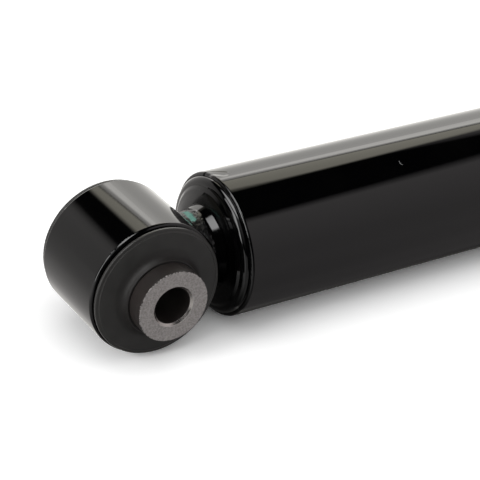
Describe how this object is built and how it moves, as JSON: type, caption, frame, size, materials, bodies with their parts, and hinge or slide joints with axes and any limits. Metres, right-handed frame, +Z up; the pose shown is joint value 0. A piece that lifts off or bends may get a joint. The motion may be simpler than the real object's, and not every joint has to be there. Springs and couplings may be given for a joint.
{
  "type": "shock absorber",
  "caption": "Telescopic twin-tube shock absorber with a rubber-bushed eye at each end, a gloss black reservoir tube and a steel dust tube over the rod.",
  "frame": {"origin": "centre of the upper eye, on the axis of its bolt bore, with the shock fully extended", "axes": "+X along the rod to the lower eye, +Y along both bolt bores, +Z up with the shock lying on its side"},
  "size_m": [0.552, 0.0636, 0.0552],
  "materials": {
    "gloss_black_paint": "gloss black stoving enamel over steel",
    "bush_rubber": "moulded natural rubber, satin charcoal",
    "sleeve_steel": "thick steel tube, sawn and deburred ends, light phosphate",
    "chromed_rod": "hard chrome, ground and polished",
    "turned_steel": "drawn or turned steel, oiled",
    "sintered_iron": "sintered iron, matt and slightly porous",
    "spring_steel": "thin rolled spring steel",
    "bush_bronze": "bronze-backed low friction bush",
    "seal_rubber": "nitrile rubber",
    "band_polymer": "filled low friction band",
    "bumper_polymer": "natural nylon"
  },
  "bodies": {
    "rod_assembly": {"upper_eye_ring": "gloss_black_paint", "upper_eye_stem": "gloss_black_paint", "upper_bush_rubber": "bush_rubber", "dust_cap": "gloss_black_paint", "dust_tube": "gloss_black_paint", "piston_rod": "chromed_rod", "rebound_stop": "turned_steel", "rebound_bumper": "bumper_polymer", "stack_washer": "turned_steel", "piston_check_spring": "spring_steel", "piston": "sintered_iron", "piston_band": "band_polymer", "rebound_discs": "spring_steel", "backing_washer": "turned_steel", "piston_nut": "turned_steel"},
    "upper_sleeve": {"upper_bush_sleeve": "sleeve_steel"},
    "piston_check": {"piston_check_plate": "spring_steel"},
    "rod_seal": {"rod_seal": "seal_rubber", "garter_spring": "spring_steel"},
    "cylinder": {"reservoir_tube": "gloss_black_paint", "pressure_tube": "turned_steel", "seal_retainer": "turned_steel", "rod_guide": "sintered_iron", "guide_bush": "bush_bronze", "base_cap": "gloss_black_paint", "foot_valve_body": "sintered_iron", "foot_check_spring": "spring_steel", "foot_discs": "spring_steel", "foot_rivet": "turned_steel", "lower_eye_ring": "gloss_black_paint", "lower_eye_stem": "gloss_black_paint", "lower_bush_rubber": "bush_rubber"},
    "foot_check": {"foot_check_plate": "spring_steel"},
    "lower_sleeve": {"lower_bush_sleeve": "sleeve_steel"}
  },
  "joints": [
    {"name": "stroke", "type": "slide", "parent": "rod_assembly", "child": "rod_seal", "axis": [-1, 0, 0], "range_m": [0, 0.155], "stiffness_N_per_m": 150, "springref_m": -0.4},
    {"name": "rod_turn", "type": "hinge", "parent": "rod_seal", "child": "cylinder", "pos_m": [0.216, 0, 0], "axis": [1, 0, 0], "continuous": true},
    {"name": "upper_bush_twist", "type": "hinge", "parent": "rod_assembly", "child": "upper_sleeve", "pos_m": [0, 0, 0], "axis": [0, 1, 0], "range_deg": [-25, 25], "stiffness_Nm_per_rad": 120},
    {"name": "lower_bush_twist", "type": "hinge", "parent": "cylinder", "child": "lower_sleeve", "pos_m": [0.49998, 0, 0], "axis": [0, 1, 0], "range_deg": [-25, 25], "stiffness_Nm_per_rad": 120},
    {"name": "piston_check_lift", "type": "slide", "parent": "rod_assembly", "child": "piston_check", "axis": [-1, 0, 0], "range_m": [0, 0.0006], "stiffness_N_per_m": 400, "springref_m": -0.0015, "deforming": ["piston_check_spring"]},
    {"name": "foot_check_lift", "type": "slide", "parent": "cylinder", "child": "foot_check", "axis": [-1, 0, 0], "range_m": [0, 0.0006], "stiffness_N_per_m": 400, "springref_m": -0.0015, "deforming": ["foot_check_spring"]}
  ]
}
